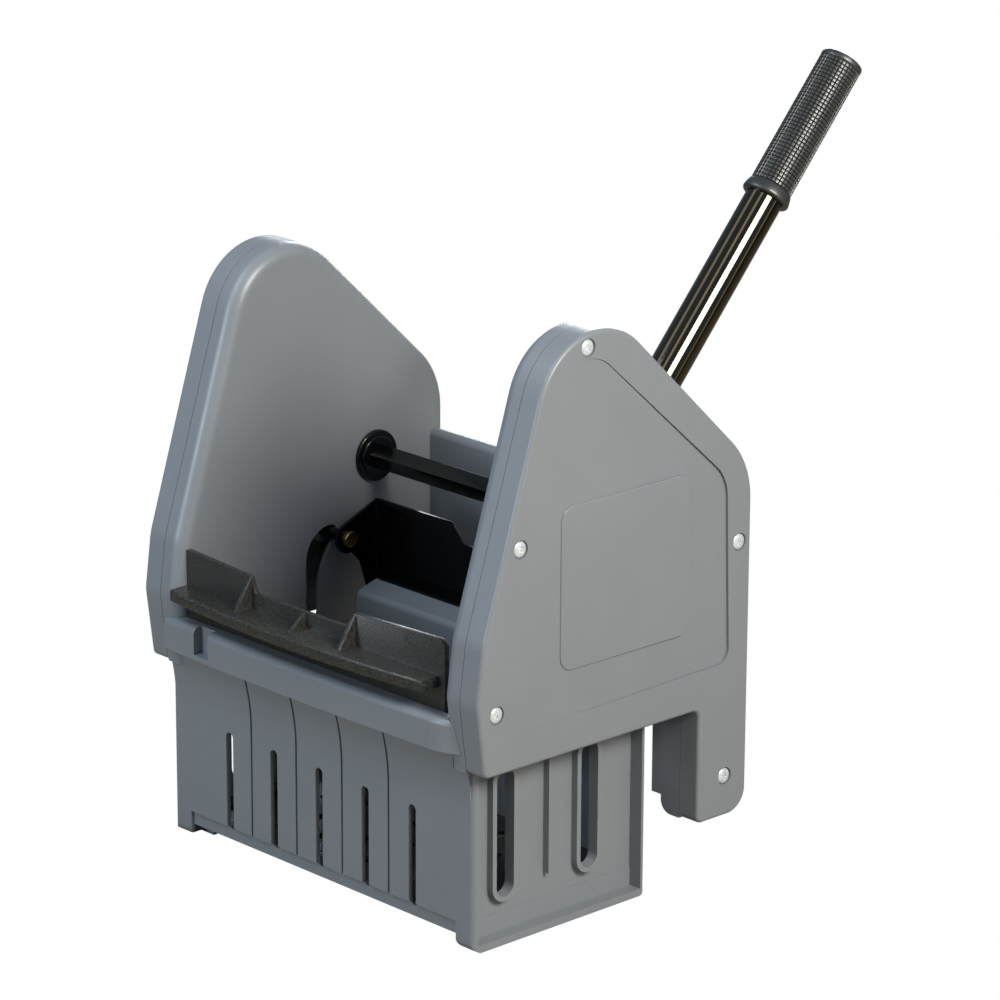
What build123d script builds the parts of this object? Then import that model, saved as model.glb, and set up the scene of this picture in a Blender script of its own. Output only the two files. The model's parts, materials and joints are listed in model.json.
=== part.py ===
"""Down-press mop wringer: a drain basket between two side housings, with a lever, gears and a level press.

Millimetres, +Z up, -Y is the front and +X the handle side. The origin is midway between
the basket's sides, level with its feet. The left-hand pieces mirror the right-hand ones.
"""

import os
from math import acos, atan2, cos, degrees, hypot, pi, radians, sin, sqrt, tan

from build123d import *

# Basket sizes
basket_width = 298.0
front_y = -74.0
rear_y = 78.0
basket_top_z = 122.0
basket_wall = 3.2
side_recess = 10.5
flange = 5.0
foot_width = 18.0
skid_width = 13.0
front_lift = 8.5
band_z = 18.0
band_depth = 2.0
corner_round = 5.0
foot_round = 6.0
rear_wall_top_z = 98.0
drain_slot_width = 7.0
drain_slot_spacing = 45.0
drain_slot_top_z = 85.0
relief_width = 15.0
relief_rim = 3.4
relief_proud = 5.2
relief_bottom_z = 30.0
relief_top_z = 116.0
relief_spacing = 74.0
relief_middle_y = -6.0
flare_z = 95.0
flare_out = 6.5
groove_width = 1.8
groove_depth = 1.3
rim_bottom_z = 134.5
rim_top_z = 156.5
rim_left_end_y = -85.0
rim_right_end_y = -80.5
rim_shoulder_y = -87.5
rim_bow = 2.5
rim_round = 5.0
rim_notch_x = -101.5
rim_notch_width = 15.0
rim_notch_depth = 6.5

# Housing sizes, with the side outline as sharp corners in Y and Z before rounding
housing_inset = 20.0
frame_depth = 17.0
cover_depth = 17.0
seam_gap = 0.4
housing_wall = 3.0
housing_bottom_z = 122.5
leg_bottom_z = 43.5
leg_depth = 45.0
housing_rear_y = 156.0
shoulder_z = 281.4
apex = (-8.3, 438.0)
brow = (-80.2, 209.0)
nose = (-85.2, 171.0)
toe_y = -79.0
inner_edge_round = 9.0
outer_edge_round = 2.5
label_width = 115.0
label_height = 108.0
label_middle = (42.5, 232.0)
label_proud = 1.4
field_depth = 2.0
field_corners = [
    (-16.0, 366.8),
    (9.6, 385.0),
    (133.0, 276.4),
    (137.5, 150.0),
    (-55.0, 146.5),
]
field_rounds = [12.0, 27.0, 30.0, 10.0, 10.0]
screw_places = [(6.8, 385.0), (-49.5, 266.6), (145.2, 230.0), (-69.0, 162.9), (135.6, 71.3)]
screw_head_radius = 5.3
screw_head_height = 2.4
screw_recess = 1.8
screw_shank = 22.0
screw_shank_radius = 2.25
ledge_screw_x = 6.8
ledge_screw_places = (-50.0, 55.0)
ledge_screw_length = 8.0
ledge_screw_radius = 2.2
ledge_head_radius = 3.5
ledge_head_height = 2.4
panel_screw_heights = (150.0, 220.0)
panel_top_z = 243.8
panel_thick = 5.6
panel_behind = 11.8
panel_round = 5.0

# Cross shaft and lever sizes
shaft = (90.7, 235.2)
shaft_square = 12.0
shaft_turn = 28.0
bush_radius = 18.0
end_screw_radius = 2.55
end_screw_length = 14.0
end_head_radius = 5.0
end_head_height = 4.0
washer_radius = 11.0
washer_thick = 1.5
tube_radius = 12.6
tube_wall = 1.6
handle_lean = 41.35
handle_foot = (34.7, 284.5)
tube_low = 6.0
grip_high = 326.0
grip_length = 107.0
grip_end = 8.0
grip_radius = 14.4
grip_collar_radius = 16.2
lever_arm_radius = 11.0
spigot_low = -14.0
spigot_high = 48.0
spigot_pins = (20.0, 36.0)
handle_stroke = 60.0
handle_slot_depth = 36.0

# Gear and press sizes
gear_module = 3.5
upper_teeth = 23
lower_teeth = 28
gear_backlash = 0.8
gear_thick = 6.0
pivot_behind_shaft = 4.3
press_pin = (50.0, 188.5)
press_pin_radius = 4.5
stay_offset = 34.0
link_thick = 3.0
link_radius = 8.5
web_y = 75.5
steel = 2.5
bend_round = 2.5
cheek_inset = 18.5
web_top_z = 211.5
web_bottom_z = 130.0
ledge_inset = 12.5
pad_inset = 8.1
pad_front_y = 48.6
pad_bottom_z = 110.0
pad_front_top_z = 153.7
pad_top_z = 158.8
spring_length = 113.0
spring_end = 24.0
wire_radius = 1.2
coil_radius = 6.0
coil_turns = 20

# Front press plate sizes
plate_back_y = -72.7
plate_thick = 3.5
lip_top_z = 179.0
lip_thick = 7.5
lip_end_y = -91.0
lip_bow = 8.0
plate_right_trim = 6.1
lip_right_trim = 5.8
ear_outer_z = 203.5
ear_inner_z = 200.3
dip_z = 189.5

# Clearances between pieces
running = 0.05
layer_gap = 0.6
side_gap = 0.3
seat_gap = 0.2
slot_gap = 1.1

# Derived positions
half_x = basket_width / 2
inner_x = half_x - housing_inset
seam_x = inner_x + frame_depth
outer_x = seam_x + cover_depth
handle_x = seam_x
cheek_x = inner_x - cheek_inset
ledge_half = cheek_x - ledge_inset
pad_half = cheek_x - pad_inset
grip_low = grip_high - grip_length
tube_high = grip_high - grip_end
middle_y = (front_y + rear_y) / 2
recess_x = half_x - side_recess
cavity_x = recess_x - basket_wall
cavity_front_y = front_y + basket_wall
cavity_rear_y = rear_y - basket_wall
leg_front_y = housing_rear_y - leg_depth
outline = [
    (toe_y, housing_bottom_z),
    nose,
    brow,
    apex,
    (housing_rear_y, shoulder_z),
    (housing_rear_y, leg_bottom_z),
    (leg_front_y, leg_bottom_z),
    (leg_front_y, housing_bottom_z),
]
cover_rounds = [4.5, 25.0, 40.0, 51.5, 57.0, 16.0, 4.5, 6.0]
frame_rounds = [0.0, 25.0, 40.0, 51.5, 57.0, 16.0, 0.0, 0.0]
stay_x = inner_x + housing_wall + layer_gap
hanger_x = stay_x + link_thick + layer_gap
gear_x = hanger_x + link_thick + layer_gap
socket_x = gear_x + gear_thick
socket_thick = 4.0
shaft_half = socket_x + socket_thick
pressure = radians(20)
upper_pitch = gear_module * upper_teeth / 2
lower_pitch = gear_module * lower_teeth / 2
centre_distance = upper_pitch + lower_pitch
pivot = (shaft[0] + pivot_behind_shaft, shaft[1] - sqrt(centre_distance**2 - pivot_behind_shaft**2))
mesh_down = atan2(pivot[1] - shaft[1], pivot[0] - shaft[0])
arm_radius = hypot(press_pin[0] - pivot[0], press_pin[1] - pivot[1])
arm_angle = degrees(atan2(press_pin[1] - pivot[1], press_pin[0] - pivot[0]))
press_stroke = handle_stroke * upper_teeth / lower_teeth
stay_pivot_at = (pivot[0], pivot[1] + stay_offset)
stay_pin_at = (press_pin[0], press_pin[1] + stay_offset)
handle_way = (sin(radians(handle_lean)), cos(radians(handle_lean)))
plate_front_y = plate_back_y - plate_thick
rim_back_y = plate_front_y - seat_gap
rim_end_x = seam_x - 3.0
rim_shoulder_x = seam_x - 30.0
panel_middle_y = housing_rear_y - panel_behind
spring_top = (press_pin[0], press_pin[1] + spring_length)
pin_end_x = socket_x + 8.0


def block(low, high, mode=Mode.ADD):
    """Adds a box between two opposite corners."""
    middle = [(a + b) / 2 for a, b in zip(low, high)]
    with Locations(tuple(middle)):
        Box(high[0] - low[0], high[1] - low[1], high[2] - low[2], mode=mode)


def rod(x_from, x_to, centre, radius, mode=Mode.ADD):
    """Adds a cylinder along X about a point in Y and Z."""
    with Locations(((x_from + x_to) / 2, centre[0], centre[1])):
        Cylinder(radius, x_to - x_from, rotation=(0, 90, 0), mode=mode)


def slab(x_from, x_to, points, mode=Mode.ADD):
    """Extrudes a sharp-cornered polygon in Y and Z along X."""
    with BuildSketch(Plane.YZ.offset(x_from)) as section:
        with BuildLine():
            Polyline(*points, close=True)
        make_face()
    extrude(section.sketch, amount=x_to - x_from, mode=mode)


def housing_slab(x_from, x_to, rounds, grow=0.0, mode=Mode.ADD):
    """Extrudes the rounded housing outline along X, grown or shrunk by an amount."""
    with BuildSketch(Plane.YZ.offset(x_from)) as section:
        with BuildLine():
            FilletPolyline(*outline, radius=rounds, close=True)
        make_face()
        if grow:
            offset(amount=grow, kind=Kind.INTERSECTION)
    extrude(section.sketch, amount=x_to - x_from, mode=mode)


def bar(x_from, x_to, start, end, radius, mode=Mode.ADD):
    """Extrudes a round-ended bar between two points in Y and Z along X."""
    length = hypot(end[0] - start[0], end[1] - start[1])
    turn = degrees(atan2(end[1] - start[1], end[0] - start[0]))
    with BuildSketch(Plane.YZ.offset(x_from)) as section:
        with Locations(((start[0] + end[0]) / 2, (start[1] + end[1]) / 2)):
            SlotCenterToCenter(length, 2 * radius, rotation=turn)
    extrude(section.sketch, amount=x_to - x_from, mode=mode)


def arc_slot(x_from, x_to, centre, radius, start, turn, half_width):
    """Cuts a round-ended slot along an arc in Y and Z, through a length of X."""
    angles = (radians(start), radians(start + turn))
    ends = [(centre[0] + radius * cos(angle), centre[1] + radius * sin(angle)) for angle in angles]
    with BuildSketch(Plane.YZ.offset(x_from)) as section:
        with BuildLine():
            CenterArc(centre, radius + half_width, start, turn)
            CenterArc(centre, radius - half_width, start, turn)
            CenterArc(ends[0], half_width, start + 180, 180)
            CenterArc(ends[1], half_width, start + turn, 180)
        make_face()
    extrude(section.sketch, amount=x_to - x_from, mode=Mode.SUBTRACT)


def square_bore(x_from, x_to, size, mode=Mode.SUBTRACT):
    """Cuts or adds a square bar along the shaft axis, turned like the shaft."""
    with BuildSketch(Plane.YZ.offset(x_from)) as section:
        with Locations(shaft):
            Rectangle(size, size, rotation=shaft_turn)
    extrude(section.sketch, amount=x_to - x_from, mode=mode)


def long_edges(face):
    """Gives the edges of a housing face along its front, top, slope and rear."""
    bottom = housing_bottom_z + 2 * housing_wall
    return [e for e in face.edges() if e.center().Z > bottom or e.center().Y > leg_front_y + 2 * housing_wall]


def housing_mouth(x_from, x_to):
    """Opens the underside of a hollow housing between its front toe and its leg."""
    low = (x_from, toe_y + housing_wall, housing_bottom_z - 1)
    high = (x_to, leg_front_y + housing_wall, housing_bottom_z + 2 * housing_wall)
    block(low, high, mode=Mode.SUBTRACT)


def slope_crossing(angle):
    """Gives the point where the lever axis, turned back by an angle, crosses the rear slope."""
    turn = radians(-angle)
    off_y = handle_foot[0] - shaft[0]
    off_z = handle_foot[1] - shaft[1]
    foot_y = shaft[0] + off_y * cos(turn) - off_z * sin(turn)
    foot_z = shaft[1] + off_y * sin(turn) + off_z * cos(turn)
    way_y = handle_way[0] * cos(turn) - handle_way[1] * sin(turn)
    way_z = handle_way[0] * sin(turn) + handle_way[1] * cos(turn)
    fall = (shoulder_z - apex[1]) / (housing_rear_y - apex[0])
    reach = (apex[1] + fall * (foot_y - apex[0]) - foot_z) / (way_z - fall * way_y)
    return (foot_y + reach * way_y, foot_z + reach * way_z)


def handle_slot(x_from, x_to):
    """Cuts the slot along the rear slope in which the lever swings."""
    start = slope_crossing(0)
    end = slope_crossing(handle_stroke)
    slope = atan2(end[1] - start[1], end[0] - start[0])
    low_room = 2.7 * tube_radius
    high_room = tube_radius + 3.0
    length = hypot(end[0] - start[0], end[1] - start[1]) + low_room + high_room
    shift = length / 2 - high_room
    with BuildSketch(Plane.YZ.offset(x_from)) as section:
        with Locations((start[0] + shift * cos(slope), start[1] + shift * sin(slope))):
            Rectangle(length, handle_slot_depth, rotation=degrees(slope))
    extrude(section.sketch, amount=x_to - x_from, mode=Mode.SUBTRACT)


def involute(angle):
    """Gives the involute function of an angle in radians."""
    return tan(angle) - angle


def gear_fan(x_from, x_to, centre, teeth, mesh_angle, first, last):
    """Adds a toothed fan about a centre, with tooth middles counted in steps from the mesh angle."""
    pitch = gear_module * teeth / 2
    base = pitch * cos(pressure)
    tip = pitch + 0.95 * gear_module
    root = pitch - 1.25 * gear_module
    half = pi / (2 * teeth) - gear_backlash / (2 * pitch)
    start = max(base, root)
    flank = [start + (tip - start) * step / 4 for step in range(5)]
    spread = [half + involute(pressure) - involute(acos(min(1.0, base / r))) for r in flank]
    points = [centre]
    count = round(last - first) + 1
    for number in range(count):
        middle = mesh_angle + (first + number) * 2 * pi / teeth
        rising = [(r, middle - s) for r, s in zip(flank, spread)]
        falling = [(r, middle + s) for r, s in reversed(list(zip(flank, spread)))]
        profile = rising + falling
        if start > root:
            profile = [(root, middle - spread[0])] + profile + [(root, middle + spread[0])]
        points += [(centre[0] + r * cos(a), centre[1] + r * sin(a)) for r, a in profile]
    slab(x_from, x_to, points)


def along_handle(distance):
    """Gives the point on the lever axis at a distance from its foot."""
    return (handle_x, handle_foot[0] + distance * handle_way[0], handle_foot[1] + distance * handle_way[1])


def handle_plane(distance):
    """Gives a plane across the lever axis at a distance from its foot."""
    way = (0, handle_way[0], handle_way[1])
    return Plane(origin=along_handle(distance), x_dir=(1, 0, 0), z_dir=way)


def handle_rod(low, high, radius, mode=Mode.ADD):
    """Adds a cylinder along the lever axis."""
    with BuildSketch(handle_plane(low)) as section:
        Circle(radius)
    extrude(section.sketch, amount=high - low, mode=mode)


def save(builder, name):
    """Labels a finished piece and writes its file."""
    builder.part.label = name
    export_step(builder.part, "parts/" + name + ".step")


os.makedirs("parts", exist_ok=True)

# Basket: ring of walls, side recesses between flanges, raised front and rear, ledges and drain slots
with BuildPart() as basket:
    with BuildSketch(Plane.XY):
        with Locations((0, middle_y)):
            RectangleRounded(basket_width, rear_y - front_y, corner_round)
            Rectangle(2 * cavity_x, cavity_rear_y - cavity_front_y, mode=Mode.SUBTRACT)
    extrude(amount=basket_top_z)
    for side in (-1, 1):
        low_x = min(side * recess_x, side * (half_x + 1))
        high_x = max(side * recess_x, side * (half_x + 1))
        block(
            (low_x, cavity_front_y, flange),
            (high_x, rear_y - flange, basket_top_z + 1),
            mode=Mode.SUBTRACT,
        )
        low_x = min(side * recess_x, side * (recess_x + 0.6))
        high_x = max(side * recess_x, side * (recess_x + 0.6))
        block((low_x, cavity_front_y, flange), (high_x, rear_y - flange, band_z))
        low_x = min(side * (cavity_x - skid_width), side * cavity_x)
        high_x = max(side * (cavity_x - skid_width), side * cavity_x)
        block((low_x, front_y + 12, 0), (high_x, rear_y - 12, 3))
    inner_foot_x = half_x - foot_width
    for edge_y, inward in ((front_y, 1), (rear_y, -1)):
        with BuildSketch(Plane.XZ.offset(-edge_y - 4)) as foot_gap:
            with Locations((inner_foot_x, 0), (-inner_foot_x, 0)):
                Rectangle(2 * foot_round, 2 * foot_round)
            with Locations((inner_foot_x + foot_round, foot_round), (-inner_foot_x - foot_round, foot_round)):
                Circle(foot_round, mode=Mode.SUBTRACT)
            Rectangle(2 * inner_foot_x, 2 * front_lift)
        extrude(foot_gap.sketch, amount=8, mode=Mode.SUBTRACT)
        with BuildSketch(Plane.YZ.offset(-half_x - 1)) as toe_corner:
            with Locations((edge_y, 0)):
                Rectangle(2 * foot_round, 2 * foot_round)
            with Locations((edge_y + inward * foot_round, foot_round)):
                Circle(foot_round, mode=Mode.SUBTRACT)
        extrude(toe_corner.sketch, amount=basket_width + 2, mode=Mode.SUBTRACT)
    band_low = (-inner_foot_x, front_y - 1, front_lift - 1)
    band_high = (inner_foot_x, front_y + band_depth, band_z)
    block(band_low, band_high, mode=Mode.SUBTRACT)
    rear_low = (-cavity_x, cavity_rear_y - 1, rear_wall_top_z)
    rear_high = (cavity_x, rear_y + 1, basket_top_z + 1)
    block(rear_low, rear_high, mode=Mode.SUBTRACT)
    with BuildSketch(Plane.XY.offset(front_lift + 3)) as sieve_ledge:
        with Locations((0, middle_y)):
            Rectangle(2 * cavity_x, cavity_rear_y - cavity_front_y)
            Rectangle(2 * cavity_x - 12, cavity_rear_y - cavity_front_y - 12, mode=Mode.SUBTRACT)
    extrude(sieve_ledge.sketch, amount=3)
    for side in (-1, 1):
        low_x = min(side * inner_x, side * recess_x)
        high_x = max(side * inner_x, side * recess_x)
        block((low_x, cavity_front_y, basket_top_z - 5), (high_x, cavity_rear_y, basket_top_z))
        for place in ledge_screw_places:
            with Locations((side * (inner_x + ledge_screw_x), place, basket_top_z)):
                Cylinder(2.3, 12, mode=Mode.SUBTRACT)
    flare_half = half_x - corner_round + 1
    flare_top = (front_y - flare_out, rim_bottom_z)
    flare_middle = (front_y - 0.27 * flare_out, (flare_z + rim_bottom_z) / 2)
    with BuildSketch(Plane.YZ.offset(-flare_half)) as flare:
        with BuildLine():
            ThreePointArc((front_y, flare_z), flare_middle, flare_top)
            Polyline(
                flare_top,
                (front_y - flare_out, rim_bottom_z + 3),
                (plate_back_y, rim_bottom_z + 3),
                (cavity_front_y, rim_bottom_z),
                (cavity_front_y, flare_z),
                (front_y, flare_z),
            )
        make_face()
    extrude(flare.sketch, amount=2 * flare_half)
    with BuildSketch(Plane.XY.offset(rim_bottom_z)) as rim:
        with BuildLine():
            turn_x = rim_shoulder_x + 0.6 * (rim_end_x - rim_shoulder_x)
            left_turn_y = rim_shoulder_y + 0.27 * (rim_left_end_y - rim_shoulder_y)
            right_turn_y = rim_shoulder_y + 0.27 * (rim_right_end_y - rim_shoulder_y)
            left_end = (-rim_end_x, rim_left_end_y)
            right_end = (rim_end_x, rim_right_end_y)
            ThreePointArc(left_end, (-turn_x, left_turn_y), (-rim_shoulder_x, rim_shoulder_y))
            rim_middle = (0, rim_shoulder_y - rim_bow)
            ThreePointArc((-rim_shoulder_x, rim_shoulder_y), rim_middle, (rim_shoulder_x, rim_shoulder_y))
            ThreePointArc((rim_shoulder_x, rim_shoulder_y), (turn_x, right_turn_y), right_end)
            Polyline(right_end, (rim_end_x, front_y), (-rim_end_x, front_y), left_end)
        make_face()
    extrude(rim.sketch, amount=rim_top_z - rim_bottom_z)
    rim_top_edges = basket.faces().sort_by(Axis.Z)[-1].edges().sort_by(Axis.Y)[0:3]
    fillet(rim_top_edges, rim_round)
    plate_room_low = (-rim_end_x, rim_back_y, rim_bottom_z + 3)
    block(plate_room_low, (rim_end_x, cavity_front_y + 1, rim_top_z + 1), mode=Mode.SUBTRACT)
    notch_low = (rim_notch_x - rim_notch_width / 2, rim_shoulder_y - rim_bow - 1, rim_bottom_z + 3.4)
    notch_high = (rim_notch_x + rim_notch_width / 2, rim_shoulder_y + rim_notch_depth, rim_top_z + 1)
    block(notch_low, notch_high, mode=Mode.SUBTRACT)
    with BuildPart(mode=Mode.PRIVATE) as housing_room:
        housing_slab(inner_x - seat_gap, half_x + 1, frame_rounds, grow=seat_gap)
        fillet(long_edges(housing_room.faces().sort_by(Axis.X)[0]), inner_edge_round)
    add(housing_room.part, mode=Mode.SUBTRACT)
    mirror(housing_room.part, about=Plane.YZ, mode=Mode.SUBTRACT)
    drain_slot_low_z = band_z - 2.5
    for number in range(-2, 3):
        with BuildSketch(Plane.XZ.offset(1 - front_y)) as drain:
            with Locations((number * drain_slot_spacing, (drain_slot_low_z + drain_slot_top_z) / 2)):
                SlotOverall(drain_slot_top_z - drain_slot_low_z, drain_slot_width, rotation=90)
        extrude(drain.sketch, amount=-basket_wall - 2, mode=Mode.SUBTRACT)
    for number in range(-2, 2):
        groove_x = (number + 0.5) * drain_slot_spacing
        with BuildSketch(Plane.YZ.offset(groove_x - groove_width / 2)) as groove:
            with BuildLine():
                groove_start = (front_y + groove_depth, flare_z)
                groove_middle = (flare_middle[0] + groove_depth, flare_middle[1])
                groove_end = (flare_top[0] + groove_depth, rim_bottom_z)
                ThreePointArc(groove_start, groove_middle, groove_end)
                outside_y = flare_top[0] - 1
                outside = [(outside_y, rim_bottom_z), (outside_y, band_z)]
                Polyline(groove_end, *outside, (front_y + groove_depth, band_z), groove_start)
            make_face()
        extrude(groove.sketch, amount=groove_width, mode=Mode.SUBTRACT)
    for outside_from, side_middle_y in (
        (-recess_x - relief_proud, 2 * middle_y - relief_middle_y),
        (recess_x - 1, relief_middle_y),
    ):
        inside_from = outside_from - 1 if outside_from < 0 else cavity_x - 1
        for shift in (-0.5, 0.5):
            relief_y = side_middle_y + shift * relief_spacing
            low_point = (relief_y, relief_bottom_z + relief_width / 2)
            high_point = (relief_y, relief_top_z - relief_width / 2)
            rim_radius = relief_width / 2 + relief_rim
            bar(outside_from, outside_from + relief_proud + 1, low_point, high_point, rim_radius)
            depth = basket_wall + relief_proud + 2
            bar(inside_from, inside_from + depth, low_point, high_point, relief_width / 2, mode=Mode.SUBTRACT)
        block(
            (outside_from, side_middle_y + 1, relief_bottom_z + 5),
            (outside_from + relief_proud + 1, side_middle_y + 3, basket_top_z - 6),
        )
save(basket, "basket")

# Bottom sieve: slotted plate lying on the basket's inner ledge
with BuildPart() as bottom_sieve:
    sieve_z = front_lift + 6
    sieve_low = (seat_gap - cavity_x, cavity_front_y + seat_gap, sieve_z)
    block(sieve_low, (cavity_x - seat_gap, cavity_rear_y - seat_gap, sieve_z + 3))
    with BuildSketch(Plane.XY.offset(sieve_z - 1)) as sieve_holes:
        with Locations((0, middle_y)):
            with GridLocations(2 * cavity_x / 10.4, 30, 10, 4):
                SlotOverall(20, 8, rotation=90)
    extrude(sieve_holes.sketch, amount=5, mode=Mode.SUBTRACT)
save(bottom_sieve, "bottom_sieve")


def side_frame(lever_slot):
    """Builds a right-hand housing's inner half: hollow shell, press slot, bores, bosses and leg flange."""
    with BuildPart() as core:
        housing_slab(inner_x + housing_wall, seam_x + 1, frame_rounds, grow=-housing_wall)
        fillet(long_edges(core.faces().sort_by(Axis.X)[0]), inner_edge_round - housing_wall)
    with BuildPart() as frame:
        housing_slab(inner_x, seam_x, frame_rounds)
        fillet(long_edges(frame.faces().sort_by(Axis.X)[0]), inner_edge_round)
        add(core.part, mode=Mode.SUBTRACT)
        housing_mouth(inner_x + housing_wall, seam_x + 1)
        block(
            (inner_x, -60, housing_bottom_z - 0.5),
            (recess_x, 60, housing_bottom_z + housing_wall),
        )
        block(
            (inner_x - 8.5, leg_front_y, leg_bottom_z + 12),
            (inner_x + 1, leg_front_y + housing_wall, housing_bottom_z),
        )
        rod(inner_x, gear_x - side_gap, pivot, 10)
        rod(inner_x, stay_x - side_gap, stay_pivot_at, 8)
        rod(inner_x - 1, seam_x, pivot, 6, mode=Mode.SUBTRACT)
        rod(inner_x - 1, seam_x, stay_pivot_at, 4, mode=Mode.SUBTRACT)
        rod(inner_x - 1, seam_x, shaft, bush_radius - 6 + running, mode=Mode.SUBTRACT)
        half_slot = press_pin_radius + slot_gap
        slot_to = inner_x + housing_wall + 1
        arc_slot(inner_x - 1, slot_to, pivot, arm_radius, arm_angle, press_stroke, half_slot)
        turned = radians(arm_angle + press_stroke)
        foot = (pivot[0] + arm_radius * cos(turned), pivot[1] + arm_radius * sin(turned))
        bend = press_pin[0] - foot[0]
        bend_centre = (press_pin[0], press_pin[1] - bend)
        arc_slot(inner_x - 1, slot_to, bend_centre, bend, 90, 90, half_slot)
        slot_low = (foot[0], foot[1] - 5)
        bar(inner_x - 1, slot_to, slot_low, (foot[0], bend_centre[1]), half_slot, mode=Mode.SUBTRACT)
        for place in screw_places:
            rod(inner_x + 2.5, outer_x - housing_wall - 3 - side_gap, place, 5)
            rod(inner_x + 6, outer_x, place, 2.3, mode=Mode.SUBTRACT)
        for height in panel_screw_heights:
            rod(inner_x - 1, seam_x, (panel_middle_y, height), 2.1, mode=Mode.SUBTRACT)
        for place in ledge_screw_places:
            with Locations((inner_x + ledge_screw_x, place, housing_bottom_z)):
                Cylinder(2.3, 10, mode=Mode.SUBTRACT)
        if lever_slot:
            handle_slot(handle_x - tube_radius - slot_gap, seam_x + 1)
        else:
            rod(inner_x + 1, pin_end_x, spring_top, press_pin_radius)
    return frame.part


def cover(lever_slot):
    """Builds a right-hand cover: hollow shell, sinking field, bare label panel and screw recesses."""
    field_front = min(corner[0] for corner in field_corners)
    field_rear = max(corner[0] for corner in field_corners)
    fall = atan2(field_depth, field_rear - field_front)
    field_plane = Plane(origin=(outer_x, field_front, 0), x_dir=(0, 0, 1), z_dir=(cos(fall), sin(fall), 0))
    with BuildPart() as field:
        with BuildSketch(Plane.YZ.offset(outer_x - housing_wall)):
            with BuildLine():
                FilletPolyline(*field_corners, radius=field_rounds, close=True)
            make_face()
        extrude(amount=2 * housing_wall)
        split(bisect_by=field_plane, keep=Keep.TOP)
    with BuildPart() as shell:
        housing_slab(seam_x + seam_gap, outer_x, cover_rounds)
        outer_face = shell.faces().sort_by(Axis.X)[-1]
        fillet(outer_face.edges(), outer_edge_round)
        housing_slab(seam_x - 1, outer_x - housing_wall, cover_rounds, grow=-housing_wall, mode=Mode.SUBTRACT)
        housing_mouth(seam_x - 1, outer_x - housing_wall)
        add(field.part, mode=Mode.SUBTRACT)
        label_x = outer_x - field_depth * (label_middle[0] - field_front) / (field_rear - field_front)
        with BuildSketch(Plane.YZ.offset(outer_x - housing_wall)) as panel:
            with Locations(label_middle):
                RectangleRounded(label_width, label_height, 10)
        extrude(panel.sketch, amount=housing_wall - outer_x + label_x + label_proud)
        fillet(shell.faces().sort_by(Axis.X)[-1].edges(), label_proud / 2)
        for place in screw_places:
            rod(outer_x - housing_wall - 3, outer_x - housing_wall, place, 8)
            rod(outer_x - screw_recess, outer_x + 1, place, screw_head_radius + 0.7, mode=Mode.SUBTRACT)
            rod(seam_x, outer_x, place, 2.6, mode=Mode.SUBTRACT)
        if lever_slot:
            handle_slot(seam_x - 1, handle_x + tube_radius + slot_gap)
    return shell.part


# Side frames and covers
with BuildPart() as right_side_frame:
    add(side_frame(True))
save(right_side_frame, "right_side_frame")

with BuildPart() as left_side_frame:
    mirror(side_frame(False), about=Plane.YZ)
save(left_side_frame, "left_side_frame")

with BuildPart() as right_cover:
    add(cover(True))
save(right_cover, "right_cover")

with BuildPart() as left_cover:
    mirror(cover(False), about=Plane.YZ)
save(left_cover, "left_cover")

# Cover screws: pan heads with a cross recess
with BuildPart() as cover_screws_right:
    seat_x = outer_x - screw_recess
    for place in screw_places:
        rod(seat_x, seat_x + screw_head_height, place, screw_head_radius)
        rod(seat_x - screw_shank, seat_x, place, screw_shank_radius)
        cross_low = seat_x + screw_head_height - 1.4
        for long_y, long_z in ((2.6, 0.7), (0.7, 2.6)):
            low = (cross_low, place[0] - long_y, place[1] - long_z)
            high = (seat_x + screw_head_height + 1, place[0] + long_y, place[1] + long_z)
            block(low, high, mode=Mode.SUBTRACT)
save(cover_screws_right, "cover_screws_right")

with BuildPart() as cover_screws_left:
    mirror(cover_screws_right.part, about=Plane.YZ)
save(cover_screws_left, "cover_screws_left")

# Rear panel between the side frames, and its end screws
with BuildPart() as rear_panel:
    panel_low = (side_gap - inner_x, panel_middle_y - panel_thick / 2, housing_bottom_z + 2.5)
    block(panel_low, (inner_x - side_gap, panel_middle_y + panel_thick / 2, panel_top_z))
    fillet(rear_panel.faces().sort_by(Axis.Z)[-1].edges().sort_by(Axis.Y)[0], panel_round)
    for side in (-1, 1):
        for height in panel_screw_heights:
            middle_x = side * (inner_x - side_gap - 10)
            rod(middle_x - 10, middle_x + 10, (panel_middle_y, height), 1.6, mode=Mode.SUBTRACT)
save(rear_panel, "rear_panel")

with BuildPart() as rear_panel_screws:
    for side in (-1, 1):
        for height in panel_screw_heights:
            centre = (panel_middle_y, height)
            shank = sorted((side * (inner_x - 15), side * (inner_x + housing_wall)))
            head = sorted((side * (inner_x + housing_wall), side * (inner_x + housing_wall + 2)))
            rod(shank[0], shank[1], centre, 1.55)
            rod(head[0], head[1], centre, 3.4)
save(rear_panel_screws, "rear_panel_screws")

# Screws holding the side frames down on the basket ledge
with BuildPart() as basket_screws:
    head_z = housing_bottom_z + housing_wall
    for side in (-1, 1):
        for place in ledge_screw_places:
            with Locations((side * (inner_x + ledge_screw_x), place, head_z - ledge_screw_length / 2)):
                Cylinder(ledge_screw_radius, ledge_screw_length)
            with Locations((side * (inner_x + ledge_screw_x), place, head_z + ledge_head_height / 2)):
                Cylinder(ledge_head_radius, ledge_head_height)
save(basket_screws, "basket_screws")

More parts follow.
